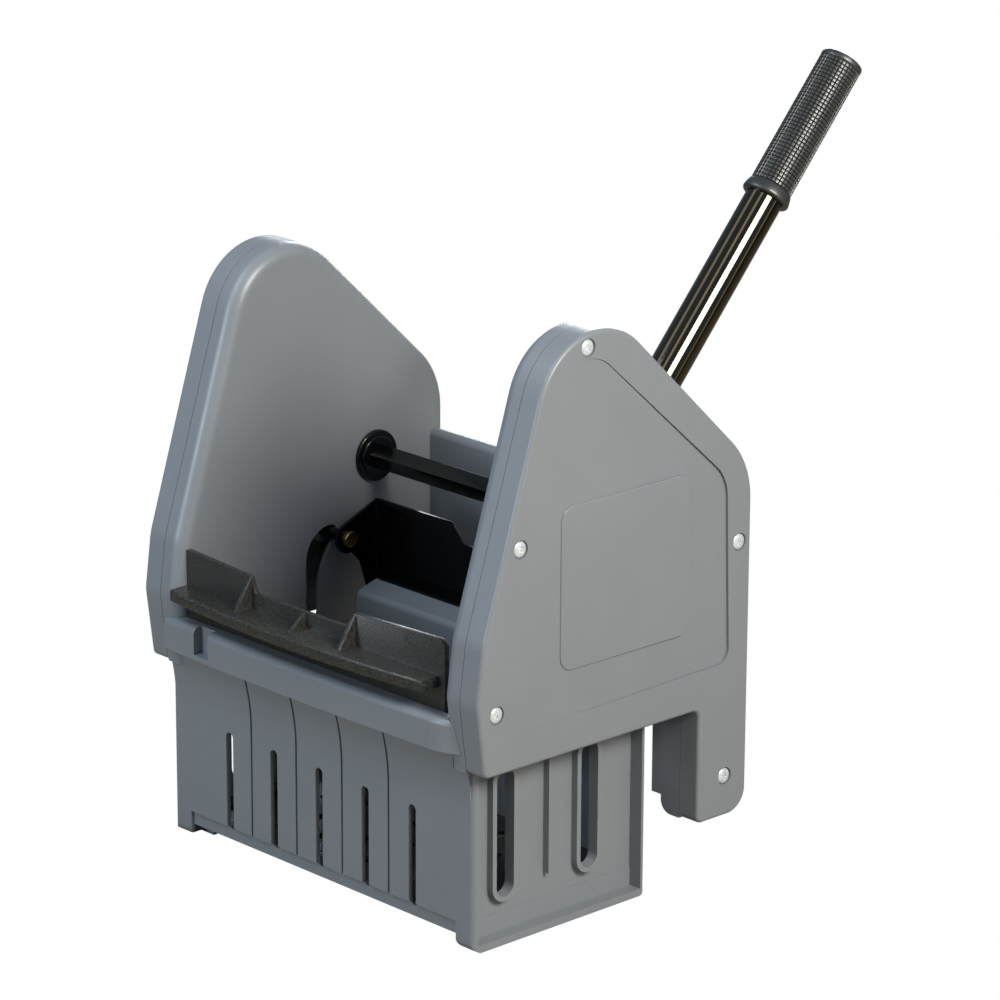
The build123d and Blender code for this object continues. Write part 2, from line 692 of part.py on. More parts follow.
# Front press plate: eared plate behind the rim, with a bowed lip over it and three gusset ribs
with BuildPart() as front_press_plate:
    plate_half = inner_x - seat_gap
    plate_right = inner_x - plate_right_trim
    with BuildSketch(Plane.XZ.offset(-plate_back_y)) as plate_face:
        with BuildLine():
            Polyline(
                (-plate_half, rim_bottom_z + 3),
                (-plate_half, ear_outer_z),
                (-64, ear_inner_z),
                (-59, dip_z),
                (33, dip_z),
                (38, ear_inner_z),
                (plate_right - 4, ear_outer_z),
                (plate_right, ear_outer_z - 4),
                (plate_right, rim_bottom_z + 3),
                close=True,
            )
        make_face()
    extrude(plate_face.sketch, amount=plate_thick)
    with BuildSketch(Plane.XY.offset(lip_top_z)) as lip:
        with BuildLine():
            lip_right = plate_right - lip_right_trim
            lip_middle = ((lip_right - plate_half) / 2, lip_end_y - lip_bow)
            lip_front = ThreePointArc((-plate_half, lip_end_y), lip_middle, (lip_right, lip_end_y))
            Polyline(lip_front @ 1, (lip_right, plate_back_y), (-plate_half, plate_back_y), lip_front @ 0)
        make_face()
    extrude(lip.sketch, amount=-lip_thick)
    fillet(front_press_plate.edges().filter_by(GeomType.CIRCLE).sort_by(Axis.Z)[-1], 1.5)
    for place, top in ((-64.0, ear_inner_z), (-10.0, dip_z), (38.0, ear_inner_z)):
        rib = [(plate_front_y, top), (plate_front_y, lip_top_z), (lip_end_y + 1, lip_top_z)]
        slab(place - 1.7, place + 1.7, rib)
save(front_press_plate, "front_press_plate")

# Cross shaft, its two bushes and its end screws
with BuildPart() as cross_shaft:
    square_bore(-shaft_half, shaft_half, shaft_square, mode=Mode.ADD)
    for side in (-1, 1):
        bore = sorted((side * shaft_half, side * (shaft_half - end_screw_length - 2)))
        rod(bore[0], bore[1], shaft, end_screw_radius + running, mode=Mode.SUBTRACT)
save(cross_shaft, "cross_shaft")

with BuildPart() as shaft_bush_right:
    rod(inner_x - side_gap - 2.5, inner_x - side_gap, shaft, bush_radius)
    rod(inner_x - side_gap, inner_x + housing_wall + 3, shaft, bush_radius - 6)
    fillet(shaft_bush_right.faces().sort_by(Axis.X)[0].edges(), 1)
    rod(inner_x - side_gap - 3.7, inner_x - side_gap - 2.5, shaft, bush_radius - 4)
    fillet(shaft_bush_right.faces().sort_by(Axis.X)[0].edges(), 0.8)
    square_bore(inner_x - 6, inner_x + housing_wall + 4, shaft_square)
save(shaft_bush_right, "shaft_bush_right")

with BuildPart() as shaft_bush_left:
    mirror(shaft_bush_right.part, about=Plane.YZ)
save(shaft_bush_left, "shaft_bush_left")

with BuildPart() as shaft_end_screws:
    for side in (-1, 1):
        head_x = shaft_half + washer_thick
        washer = sorted((side * shaft_half, side * head_x))
        head = sorted((side * head_x, side * (head_x + end_head_height)))
        shank = sorted((side * (shaft_half - end_screw_length), side * shaft_half))
        rod(washer[0], washer[1], shaft, washer_radius)
        rod(head[0], head[1], shaft, end_head_radius)
        rod(shank[0], shank[1], shaft, end_screw_radius)
save(shaft_end_screws, "shaft_end_screws")

# Upper gear fans on the shaft ends
with BuildPart() as upper_gear_right:
    gear_fan(gear_x, gear_x + gear_thick, shaft, upper_teeth, mesh_down, -1, 5)
    rod(inner_x + housing_wall + 3, gear_x + gear_thick, shaft, 15)
    square_bore(inner_x, shaft_half + 1, shaft_square)
save(upper_gear_right, "upper_gear_right")

with BuildPart() as upper_gear_left:
    mirror(upper_gear_right.part, about=Plane.YZ)
    rod(-shaft_half, -gear_x - gear_thick, shaft, 15)
    square_bore(-shaft_half - 1, -inner_x, shaft_square)
save(upper_gear_left, "upper_gear_left")

# Lower gear fans, each in one piece with its press arm
with BuildPart() as lower_gear_right:
    gear_fan(gear_x, gear_x + gear_thick, pivot, lower_teeth, mesh_down + pi, -5.5, 1.5)
    bar(gear_x, gear_x + gear_thick, pivot, press_pin, 10)
    rod(gear_x, gear_x + gear_thick, pivot, 15)
    rod(gear_x - 1, gear_x + gear_thick + 1, pivot, 6 + running, mode=Mode.SUBTRACT)
    rod(gear_x - 1, gear_x + gear_thick + 1, press_pin, press_pin_radius + running, mode=Mode.SUBTRACT)
save(lower_gear_right, "lower_gear_right")

with BuildPart() as lower_gear_left:
    mirror(lower_gear_right.part, about=Plane.YZ)
save(lower_gear_left, "lower_gear_left")

# Pivot pins of the lower gears and of the stay links
with BuildPart() as gear_pivot_right:
    rod(inner_x, socket_x + side_gap, pivot, 6)
    rod(socket_x + side_gap, socket_x + side_gap + 1.8, pivot, 9)
save(gear_pivot_right, "gear_pivot_right")

with BuildPart() as gear_pivot_left:
    mirror(gear_pivot_right.part, about=Plane.YZ)
save(gear_pivot_left, "gear_pivot_left")

with BuildPart() as stay_pivot_right:
    rod(inner_x, stay_x + link_thick + side_gap, stay_pivot_at, 4)
    rod(stay_x + link_thick + side_gap, gear_x - 1.2, stay_pivot_at, 6)
save(stay_pivot_right, "stay_pivot_right")

with BuildPart() as stay_pivot_left:
    mirror(stay_pivot_right.part, about=Plane.YZ)
save(stay_pivot_left, "stay_pivot_left")

# Stay links that keep the press level
with BuildPart() as stay_link_right:
    bar(stay_x, stay_x + link_thick, stay_pivot_at, stay_pin_at, link_radius)
    rod(stay_x - 1, stay_x + link_thick + 1, stay_pivot_at, 4 + running, mode=Mode.SUBTRACT)
    rod(stay_x - 1, stay_x + link_thick + 1, stay_pin_at, 4 + side_gap, mode=Mode.SUBTRACT)
save(stay_link_right, "stay_link_right")

with BuildPart() as stay_link_left:
    mirror(stay_link_right.part, about=Plane.YZ)
save(stay_link_left, "stay_link_left")

# Press hangers: plates from the press pin up to the stay link's stud
with BuildPart() as press_hanger_right:
    bar(hanger_x, hanger_x + link_thick, press_pin, stay_pin_at, link_radius)
    rod(stay_x, hanger_x, stay_pin_at, 4)
    rod(hanger_x - 1, hanger_x + link_thick + 1, press_pin, press_pin_radius, mode=Mode.SUBTRACT)
save(press_hanger_right, "press_hanger_right")

with BuildPart() as press_hanger_left:
    mirror(press_hanger_right.part, about=Plane.YZ)
save(press_hanger_left, "press_hanger_left")

# Press bracket: notched web, two cheeks and a folded ledge over the pad
with BuildPart() as press_bracket:
    bracket_half = cheek_x + steel
    with BuildSketch(Plane.XZ.offset(-web_y)) as web:
        with BuildLine():
            Polyline(
                (-bracket_half, web_bottom_z),
                (-bracket_half, web_top_z),
                (-36.7, web_top_z),
                (-25, web_top_z - 12.8),
                (25, web_top_z - 12.8),
                (36.7, web_top_z),
                (bracket_half, web_top_z),
                (bracket_half, web_bottom_z),
                close=True,
            )
        make_face()
    extrude(web.sketch, amount=-steel)
    cheek = [
        (press_pin[0] - 4.6, press_pin[1] + 9.4),
        (web_y + steel, web_top_z),
        (web_y + steel, web_bottom_z),
        (web_y - 5, web_bottom_z),
        (web_y - 8, web_bottom_z + 21),
        (web_y - 14, press_pin[1] - 19),
        (press_pin[0] + 3, press_pin[1] - 10),
    ]
    for x_from in (-bracket_half, cheek_x):
        slab(x_from, x_from + steel, cheek)
    for bend_x, bend_y, bend_radius in (
        (bracket_half, web_y + steel, bend_round + steel),
        (cheek_x, web_y, bend_round),
    ):
        upright = press_bracket.edges().filter_by(Axis.Z)
        bends = upright.filter_by(lambda e: abs(abs(e.center().X) - bend_x) < 0.01)
        fillet(bends.filter_by(lambda e: abs(e.center().Y - bend_y) < 0.01), bend_radius)
    for x_from in (-bracket_half, cheek_x):
        rod(x_from, x_from + steel, press_pin, 10.4)
        rod(x_from - 1, x_from + steel + 1, press_pin, press_pin_radius, mode=Mode.SUBTRACT)
    block((-ledge_half, web_y - 9.5, pad_top_z), (ledge_half, web_y, pad_top_z + steel))
    for place in (-34.0, 34.0):
        for height in (web_bottom_z + 5, web_bottom_z + 16):
            with Locations((place, web_y + 1.5, height)):
                Cylinder(1.8, 8, rotation=(90, 0, 0), mode=Mode.SUBTRACT)
save(press_bracket, "press_bracket")

# Press pad: hollow block with a sloped top, open at the back between ribs
with BuildPart() as press_pad:
    section_points = [
        (pad_front_y, pad_bottom_z),
        (pad_front_y, pad_front_top_z),
        (web_y - 10, pad_top_z),
        (web_y, pad_top_z),
        (web_y, pad_bottom_z),
    ]
    slab(-pad_half, pad_half, section_points)
    front_edges = press_pad.edges().filter_by(Axis.X).sort_by(Axis.Y)[0:2]
    fillet(front_edges, 5)
    ends = press_pad.edges().filter_by(lambda e: abs(e.center().X) > pad_half - 0.01)
    fillet(ends.filter_by(lambda e: e.center().Y < web_y - 1 and e.center().Z > pad_bottom_z + 1), 2.5)
    for left, right in ((-pad_half + 5, -38), (-30, 30), (38, pad_half - 5)):
        low = (left, pad_front_y + 5, pad_bottom_z + 5)
        high = (right, web_y + 1, pad_front_top_z - 5)
        block(low, high, mode=Mode.SUBTRACT)
    for place in (-34.0, 34.0):
        for height in (web_bottom_z + 5, web_bottom_z + 16):
            with Locations((place, web_y, height)):
                Cylinder(1.7, 24, rotation=(90, 0, 0), mode=Mode.SUBTRACT)
save(press_pad, "press_pad")

with BuildPart() as pad_screws:
    for place in (-34.0, 34.0):
        for height in (web_bottom_z + 5, web_bottom_z + 16):
            with Locations((place, web_y - 3.5, height)):
                Cylinder(1.65, 13, rotation=(90, 0, 0))
            with Locations((place, web_y + steel + 1.2, height)):
                Cylinder(3.6, 2.4, rotation=(90, 0, 0))
save(pad_screws, "pad_screws")

# Press pins and the slotted brass caps on their inner ends
with BuildPart() as press_pin_right:
    rod(cheek_x - 2, pin_end_x, press_pin, press_pin_radius)
    rod(socket_x + side_gap, socket_x + side_gap + 1.5, press_pin, 7)
save(press_pin_right, "press_pin_right")

with BuildPart() as press_pin_left:
    mirror(press_pin_right.part, about=Plane.YZ)
save(press_pin_left, "press_pin_left")

with BuildPart() as pin_nut_right:
    rod(cheek_x - 3.6, cheek_x, press_pin, press_pin_radius + 1)
    fillet(pin_nut_right.faces().sort_by(Axis.X)[0].edges(), 0.6)
    rod(cheek_x - 2, cheek_x + 1, press_pin, press_pin_radius, mode=Mode.SUBTRACT)
    slot_low = (cheek_x - 4, press_pin[0] - 6, press_pin[1] - 0.7)
    slot_high = (cheek_x - 2.9, press_pin[0] + 6, press_pin[1] + 0.7)
    block(slot_low, slot_high, mode=Mode.SUBTRACT)
save(pin_nut_right, "pin_nut_right")

with BuildPart() as pin_nut_left:
    mirror(pin_nut_right.part, about=Plane.YZ)
save(pin_nut_left, "pin_nut_left")

# Lever: arm on the shaft with a spigot, tube over the spigot, cross pins and grip
with BuildPart() as handle_socket:
    rod(socket_x, socket_x + socket_thick, shaft, 16)
    arm_end = along_handle(tube_low - lever_arm_radius - 1)
    bar(socket_x, socket_x + socket_thick, shaft, (arm_end[1], arm_end[2]), lever_arm_radius)
    handle_rod(spigot_low, spigot_high, tube_radius - tube_wall)
    square_bore(socket_x - 1, socket_x + socket_thick + 1, shaft_square)
    for distance in spigot_pins:
        place = along_handle(distance)
        rod(handle_x - 14, handle_x + 14, (place[1], place[2]), 2.5, mode=Mode.SUBTRACT)
save(handle_socket, "handle_socket")

with BuildPart() as handle_tube:
    handle_rod(tube_low, tube_high, tube_radius)
    handle_rod(tube_low - 1, tube_high + 1, tube_radius - tube_wall, mode=Mode.SUBTRACT)
    for distance in spigot_pins:
        place = along_handle(distance)
        rod(handle_x - 14, handle_x + 14, (place[1], place[2]), 2.5, mode=Mode.SUBTRACT)
save(handle_tube, "handle_tube")

with BuildPart() as handle_pins:
    for distance in spigot_pins:
        place = along_handle(distance)
        rod(handle_x - tube_radius + 0.4, handle_x + tube_radius - 0.4, (place[1], place[2]), 2.5)
save(handle_pins, "handle_pins")

with BuildPart() as handle_grip:
    half_way = (0, -handle_way[1], handle_way[0])
    with BuildSketch(Plane(origin=along_handle(0), x_dir=(1, 0, 0), z_dir=half_way)) as half:
        with BuildLine():
            Polyline(
                (0, grip_high),
                (grip_radius - 2, grip_high),
                (grip_radius, grip_high - 2),
                (grip_radius, grip_low + 11),
                (grip_collar_radius, grip_low + 4),
                (grip_collar_radius, grip_low + 1.5),
                (grip_collar_radius - 1.5, grip_low),
                (tube_radius, grip_low),
                (tube_radius, tube_high),
                (0, tube_high),
                close=True,
            )
        make_face()
    revolve(half.sketch, axis=Axis(along_handle(0), (0, handle_way[0], handle_way[1])))
save(handle_grip, "handle_grip")

# Return spring in the left housing: close coil, and straight ends with an eye at each end
with BuildPart() as spring_coil:
    coil_low = press_pin[1] + spring_end
    coil_pitch = (spring_length - 2 * spring_end) / coil_turns
    coil_x = 2 * wire_radius - pin_end_x
    with BuildLine() as coil_path:
        Helix(coil_pitch, coil_pitch * coil_turns, coil_radius, center=(coil_x, press_pin[0], coil_low))
    with BuildSketch(Plane(origin=coil_path.line @ 0, z_dir=coil_path.line % 0)) as wire:
        Circle(wire_radius)
    sweep(wire.sketch, path=coil_path.line)

with BuildPart() as return_spring:
    quarter_turn = 0.25 / coil_turns
    eye = press_pin_radius + side_gap + wire_radius
    low_end = coil_path.line @ quarter_turn
    high_end = coil_path.line @ (1 - quarter_turn)
    for eye_z, leg_from, leg_to, coil_end in (
        (press_pin[1], press_pin[1] + eye, low_end.Z, low_end),
        (spring_top[1], high_end.Z, spring_top[1] - eye, high_end),
    ):
        with Locations((coil_x, press_pin[0], eye_z)):
            Torus(eye, wire_radius, rotation=(0, 90, 0))
        with Locations((coil_x, press_pin[0], (leg_from + leg_to) / 2)):
            Cylinder(wire_radius, leg_to - leg_from + wire_radius)
        inward = Vector(coil_x, press_pin[0], coil_end.Z) - coil_end
        with BuildSketch(Plane(origin=coil_end, z_dir=inward)) as bridge:
            Circle(0.9 * wire_radius)
        extrude(bridge.sketch, amount=inward.length)
    add(spring_coil.part)
save(return_spring, "return_spring")
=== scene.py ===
"""Looks of a down-press mop wringer.

Finishes for its solids, soft-edged pieces, pan-head screws, a waffle grip, a smoothed copy of the spring, and
a studio.
"""

import json
import math

import bpy
from mathutils import Matrix, Vector

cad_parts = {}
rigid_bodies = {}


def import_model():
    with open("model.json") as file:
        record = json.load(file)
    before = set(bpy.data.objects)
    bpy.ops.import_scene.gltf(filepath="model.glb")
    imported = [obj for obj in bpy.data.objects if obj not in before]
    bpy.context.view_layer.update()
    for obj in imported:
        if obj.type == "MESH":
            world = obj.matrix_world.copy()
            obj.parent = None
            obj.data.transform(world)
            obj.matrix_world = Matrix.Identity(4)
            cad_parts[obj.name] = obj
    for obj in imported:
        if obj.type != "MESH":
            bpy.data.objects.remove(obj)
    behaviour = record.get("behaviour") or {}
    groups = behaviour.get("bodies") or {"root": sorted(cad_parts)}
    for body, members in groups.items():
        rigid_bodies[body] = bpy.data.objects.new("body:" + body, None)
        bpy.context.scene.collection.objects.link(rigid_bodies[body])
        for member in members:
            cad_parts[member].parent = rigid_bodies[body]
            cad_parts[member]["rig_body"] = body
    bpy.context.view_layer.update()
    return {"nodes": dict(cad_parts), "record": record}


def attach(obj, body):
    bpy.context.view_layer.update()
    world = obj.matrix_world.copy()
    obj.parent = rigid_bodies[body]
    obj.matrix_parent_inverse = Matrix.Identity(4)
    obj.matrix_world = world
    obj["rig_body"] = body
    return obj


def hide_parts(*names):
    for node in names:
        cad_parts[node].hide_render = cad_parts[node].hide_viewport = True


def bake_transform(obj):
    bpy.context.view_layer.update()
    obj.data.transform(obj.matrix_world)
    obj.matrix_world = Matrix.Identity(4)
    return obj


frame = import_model()
nodes = frame["nodes"]

# Sizes in metres, as in the part
LEVER_LEAN = math.radians(41.35)
LEVER_FOOT = Vector((0.146, 0.0347, 0.2845))
LEVER_WAY = Vector((0, math.sin(LEVER_LEAN), math.cos(LEVER_LEAN)))
TUBE_RADIUS = 0.0126
GRIP_LOW = 0.219
GRIP_HIGH = 0.326
COVER_FACE_X = 0.163
SCREW_SEAT = 0.0018
SCREW_PLACES = [
    (0.0068, 0.385),
    (-0.0495, 0.2666),
    (0.1452, 0.230),
    (-0.069, 0.1629),
    (0.1356, 0.0713),
]
SCREW_TURNS = [12, 38, 67, 25, 80]

# Grip: pillow insets as thickness and depth, rings as radius and step along the axis
WAFFLE_COLUMNS = 32
WAFFLE_ROWS = 35
WAFFLE_ROW_STEP = 0.00268
WAFFLE_START = 0.0085
GROOVE_RADIUS = 0.0134
PILLOW_INSETS = [(0.00040, 0.0009), (0.0003, 0.00007)]
COLLAR_RINGS = [
    (0.0138, -0.0003),
    (0.0147, -0.0004),
    (0.0153, -0.0014),
    (0.0158, -0.0022),
    (0.0162, -0.0018),
    (0.0162, -0.0010),
    (0.0159, -0.0007),
    (0.0152, -0.0006),
    (0.0142, -0.0001),
    (TUBE_RADIUS, 0.0),
    (TUBE_RADIUS, 0.004),
]
END_FOOT_RINGS = [(0.0139, 0.0002), (0.0142, 0.0004), (0.0144, 0.0006)]
END_RADIUS = 0.0144
END_ROUNDED_LENGTH = 0.0027
END_CAP_RINGS = [
    (0.0140, 0.0008),
    (0.0131, 0.0005),
    (0.0110, 0.0002),
    (0.0070, 0.0),
    (0.0010, 0.0),
]

# Pan-head screw: head insets as thickness and depth, and the cutter of its cross recess
SCREW_SIDES = 40
SCREW_RADIUS = 0.0053
SCREW_RIM = 0.0012
SCREW_HEAD_INSETS = [(0.00035, 0.0005), (0.0006, 0.0004), (0.001, 0.0003), (0.0014, 0.00015)]
SHANK_INSET = 0.0031
SHANK_LENGTH = 0.021
CROSS_HEIGHT = 0.0018
CROSS_SIZE = (0.0058, 0.0016, 0.0026)
CROSS_TAPER = (0.45, 0.7, 1)

# Mesh work
MERGE_DISTANCE = 0.00001
LEVEL_TOLERANCE = 1e-6
FACING = 0.9
FLAT_ANGLE = math.radians(1)
SMOOTH_ANGLE = math.radians(42)
SHARP_ANGLE = math.radians(50)
EDGE_SEGMENTS = 3

# Range that most noise values fall in
NOISE_SPAN = (0.3, 0.7)


def new_finish(name):
    """Makes a node material and gives back the material, its tree and its shader."""
    material = bpy.data.materials.new(name)
    material.use_nodes = True
    tree = material.node_tree
    shader = tree.nodes["Principled BSDF"]
    return material, tree, shader


def add_noise(tree, scale, detail, rough=0.5, stretch=None):
    """Adds a noise texture on Object coordinates, turned and stretched where asked."""
    place = tree.nodes.new("ShaderNodeTexCoord")
    noise = tree.nodes.new("ShaderNodeTexNoise")
    noise.inputs["Scale"].default_value = scale
    noise.inputs["Detail"].default_value = detail
    noise.inputs["Roughness"].default_value = rough
    source = place.outputs["Object"]
    if stretch:
        mapping = tree.nodes.new("ShaderNodeMapping")
        mapping.inputs["Rotation"].default_value = stretch[0]
        mapping.inputs["Scale"].default_value = stretch[1]
        tree.links.new(source, mapping.inputs["Vector"])
        source = mapping.outputs["Vector"]
    tree.links.new(source, noise.inputs["Vector"])
    return noise.outputs["Fac"]


def add_range(tree, value, span, out=(0, 1)):
    """Maps a value from one span to another."""
    ranged = tree.nodes.new("ShaderNodeMapRange")
    ranged.inputs["From Min"].default_value = span[0]
    ranged.inputs["From Max"].default_value = span[1]
    ranged.inputs["To Min"].default_value = out[0]
    ranged.inputs["To Max"].default_value = out[1]
    tree.links.new(value, ranged.inputs["Value"])
    return ranged.outputs["Result"]


def add_mix(tree, share, first, second):
    """Mixes two colours, each a socket or a plain colour, by a share."""
    mix = tree.nodes.new("ShaderNodeMix")
    mix.data_type = "RGBA"
    tree.links.new(share, mix.inputs["Factor"])
    for name, colour in (("A", first), ("B", second)):
        socket = [s for s in mix.inputs if s.name == name and s.type == "RGBA"][0]
        if isinstance(colour, tuple):
            socket.default_value = (*colour, 1)
        else:
            tree.links.new(colour, socket)
    return [s for s in mix.outputs if s.type == "RGBA"][0]


def add_specks(tree, scale, size):
    """Gives small round specks scattered over the surface."""
    place = tree.nodes.new("ShaderNodeTexCoord")
    cells = tree.nodes.new("ShaderNodeTexVoronoi")
    cells.inputs["Scale"].default_value = scale
    tree.links.new(place.outputs["Object"], cells.inputs["Vector"])
    return add_range(tree, cells.outputs["Distance"], (size, size * 0.6))


def add_bump(tree, shader, height, strength, distance, under=None):
    """Raises the surface by a height, over an earlier bump where one is given."""
    bump = tree.nodes.new("ShaderNodeBump")
    bump.inputs["Strength"].default_value = strength
    bump.inputs["Distance"].default_value = distance
    tree.links.new(height, bump.inputs["Height"])
    if under:
        tree.links.new(under, bump.inputs["Normal"])
    tree.links.new(bump.outputs["Normal"], shader.inputs["Normal"])
    return bump.outputs["Normal"]


def moulded_plastic(name, light, dark, gloss, grain, grain_depth, speck, cloud_scale=9):
    """Satin moulded plastic: cloudy colour, sparse specks, fine grain and slight sink marks."""
    material, tree, shader = new_finish(name)
    cloud_noise = add_noise(tree, scale=cloud_scale, detail=4, rough=0.6)
    cloud = add_range(tree, cloud_noise, (0.35, 0.7))
    colour = add_mix(tree, cloud, dark, light)
    colour = add_mix(tree, add_specks(tree, scale=70, size=0.022), colour, speck)
    tree.links.new(colour, shader.inputs["Base Color"])
    sheen_noise = add_noise(tree, scale=34, detail=5, rough=0.6)
    sheen = add_range(tree, sheen_noise, NOISE_SPAN, gloss)
    tree.links.new(sheen, shader.inputs["Roughness"])
    sink_noise = add_noise(tree, scale=28, detail=1)
    waves = add_bump(tree, shader, sink_noise, strength=0.12, distance=0.001)
    grain_noise = add_noise(tree, scale=grain, detail=2)
    add_bump(tree, shader, grain_noise, strength=grain_depth, distance=0.0002, under=waves)
    return material


def painted_steel(name, colour, worn, gloss):
    """Painted steel: gloss paint with orange peel and faint scuffs."""
    material, tree, shader = new_finish(name)
    scuff_noise = add_noise(tree, scale=60, detail=8, rough=0.7)
    scuff = add_range(tree, scuff_noise, (0.58, 0.75))
    tree.links.new(add_mix(tree, scuff, colour, worn), shader.inputs["Base Color"])
    shine_noise = add_noise(tree, scale=25, detail=5, rough=0.65)
    shine = add_range(tree, shine_noise, NOISE_SPAN, gloss)
    tree.links.new(shine, shader.inputs["Roughness"])
    shader.inputs["Specular IOR Level"].default_value = 0.2
    peel_noise = add_noise(tree, scale=420, detail=2)
    add_bump(tree, shader, peel_noise, strength=0.08, distance=0.0002)
    return material


def bare_metal(name, light, dark, gloss, stretch, lines, metallic=1.0):
    """Metal with drawn streaks in its colour, shine and surface."""
    material, tree, shader = new_finish(name)
    shader.inputs["Metallic"].default_value = metallic
    streaks = add_noise(tree, scale=lines, detail=4, rough=0.6, stretch=stretch)
    tint = add_range(tree, streaks, NOISE_SPAN)
    tree.links.new(add_mix(tree, tint, dark, light), shader.inputs["Base Color"])
    shine_noise = add_noise(tree, scale=90, detail=5, rough=0.6, stretch=stretch)
    shine = add_range(tree, shine_noise, NOISE_SPAN, gloss)
    tree.links.new(shine, shader.inputs["Roughness"])
    add_bump(tree, shader, streaks, strength=0.04, distance=0.0001)
    return material


# Finishes, with the turn and stretch of the streaks in metal
ALONG_LEVER = ((LEVER_LEAN, 0, 0), (12, 12, 0.25))
EVEN = ((0, 0, 0), (1, 1, 1))
body_grey = moulded_plastic(
    "grey_body",
    light=(0.208, 0.222, 0.238),
    dark=(0.192, 0.206, 0.222),
    gloss=(0.30, 0.40),
    grain=2600,
    grain_depth=0.16,
    speck=(0.30, 0.31, 0.31),
)
# Black plastic: its fine light and dark mottle (cloud scale 800) and its light specks are partly the
# plastic's grain and partly painted glints, light caught by the grain painted into the colour.
plate_black = moulded_plastic(
    "black_plastic",
    light=(0.060, 0.056, 0.049),
    dark=(0.002, 0.002, 0.002),
    gloss=(0.24, 0.40),
    grain=1300,
    grain_depth=0.6,
    speck=(0.11, 0.105, 0.095),
    cloud_scale=800,
)
bush_black = moulded_plastic(
    "bush_plastic",
    light=(0.004, 0.004, 0.0045),
    dark=(0.002, 0.002, 0.002),
    gloss=(0.12, 0.2),
    grain=600,
    grain_depth=0.05,
    speck=(0.01, 0.01, 0.01),
)
bracket_black = painted_steel(
    "black_steel",
    colour=(0.0015, 0.0015, 0.0018),
    worn=(0.003, 0.003, 0.003),
    gloss=(0.12, 0.2),
)
tube_chrome = bare_metal(
    "black_chrome",
    light=(0.105, 0.092, 0.072),
    dark=(0.076, 0.064, 0.047),
    gloss=(0.04, 0.08),
    stretch=ALONG_LEVER,
    lines=160,
)
rubber = moulded_plastic(
    "grip_rubber",
    light=(0.026, 0.026, 0.025),
    dark=(0.016, 0.016, 0.015),
    gloss=(0.36, 0.44),
    grain=1800,
    grain_depth=0.08,
    speck=(0.05, 0.05, 0.05),
)
rubber.node_tree.nodes["Principled BSDF"].inputs["Specular IOR Level"].default_value = 0.9
zinc = bare_metal(
    "zinc_screws",
    light=(0.88, 0.92, 0.96),
    dark=(0.76, 0.79, 0.82),
    gloss=(0.24, 0.36),
    stretch=EVEN,
    lines=300,
    metallic=0.55,
)
nylon = moulded_plastic(
    "gear_nylon",
    light=(0.034, 0.034, 0.036),
    dark=(0.026, 0.026, 0.028),
    gloss=(0.38, 0.5),
    grain=2200,
    grain_depth=0.15,
    speck=(0.06, 0.06, 0.06),
)
steel = bare_metal(
    "plain_steel",
    light=(0.50, 0.50, 0.51),
    dark=(0.40, 0.40, 0.41),
    gloss=(0.3, 0.45),
    stretch=EVEN,
    lines=260,
)
brass = bare_metal(
    "brass",
    light=(0.62, 0.42, 0.17),
    dark=(0.42, 0.27, 0.10),
    gloss=(0.28, 0.46),
    stretch=EVEN,
    lines=420,
)
finishes = {
    "grey_body": body_grey,
    "black_plastic": plate_black,
    "black_steel": bracket_black,
    "black_chrome": tube_chrome,
    "grip_rubber": rubber,
    "zinc_screws": zinc,
    "gear_nylon": nylon,
    "plain_steel": steel,
    "brass": brass,
}
slot_of = {row["node"]: row["material_slot"] for row in frame["record"]["subparts"]}
for node, thing in nodes.items():
    thing.data.materials.clear()
    thing.data.materials.append(finishes[slot_of[node]])
for node in ("shaft_bush_left", "shaft_bush_right"):
    nodes[node].data.materials[0] = bush_black


def only(thing):
    """Selects one object and nothing else."""
    bpy.ops.object.select_all(action="DESELECT")
    thing.select_set(True)
    bpy.context.view_layer.objects.active = thing


def select_faces(thing, test):
    """Selects in edit mode the faces of a mesh that pass a test."""
    bpy.ops.mesh.select_mode(type="FACE")
    bpy.ops.mesh.select_all(action="DESELECT")
    bpy.ops.object.mode_set(mode="OBJECT")
    for face in thing.data.polygons:
        face.select = test(face)
    bpy.ops.object.mode_set(mode="EDIT")


def select_ring(thing, height):
    """Selects in edit mode the edges that lie at a height."""
    bpy.ops.mesh.select_mode(type="EDGE")
    bpy.ops.mesh.select_all(action="DESELECT")
    bpy.ops.object.mode_set(mode="OBJECT")
    level = [abs(v.co.z - height) < LEVEL_TOLERANCE for v in thing.data.vertices]
    for edge in thing.data.edges:
        edge.select = level[edge.vertices[0]] and level[edge.vertices[1]]
    bpy.ops.object.mode_set(mode="EDIT")


def merged_copy(node, name):
    """Copies a solid's mesh under a new name, merges its doubled points and stays in edit mode."""
    copy = bpy.data.objects.new(name, nodes[node].data.copy())
    bpy.context.collection.objects.link(copy)
    only(copy)
    bpy.ops.object.mode_set(mode="EDIT")
    bpy.ops.mesh.select_all(action="SELECT")
    bpy.ops.mesh.remove_doubles(threshold=MERGE_DISTANCE)
    return copy


def dress(thing, name, material, body, slot, *stands_for):
    """Names a finished piece, paints it and lets it ride on its body."""
    thing.name = name
    thing.data.materials.clear()
    thing.data.materials.append(material)
    only(thing)
    bpy.ops.object.shade_smooth_by_angle(angle=SMOOTH_ANGLE)
    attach(thing, body)
    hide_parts(*stands_for)


def lathe_end(radius_now, rings):
    """Carries the selected ring on through rings of a radius and a step along the axis."""
    for radius, step in rings:
        bpy.ops.mesh.extrude_region_move(TRANSFORM_OT_translate={"value": (0, 0, step)})
        share = radius / radius_now
        bpy.ops.transform.resize(value=(share, share, 1), center_override=(0, 0, 0))
        radius_now = radius


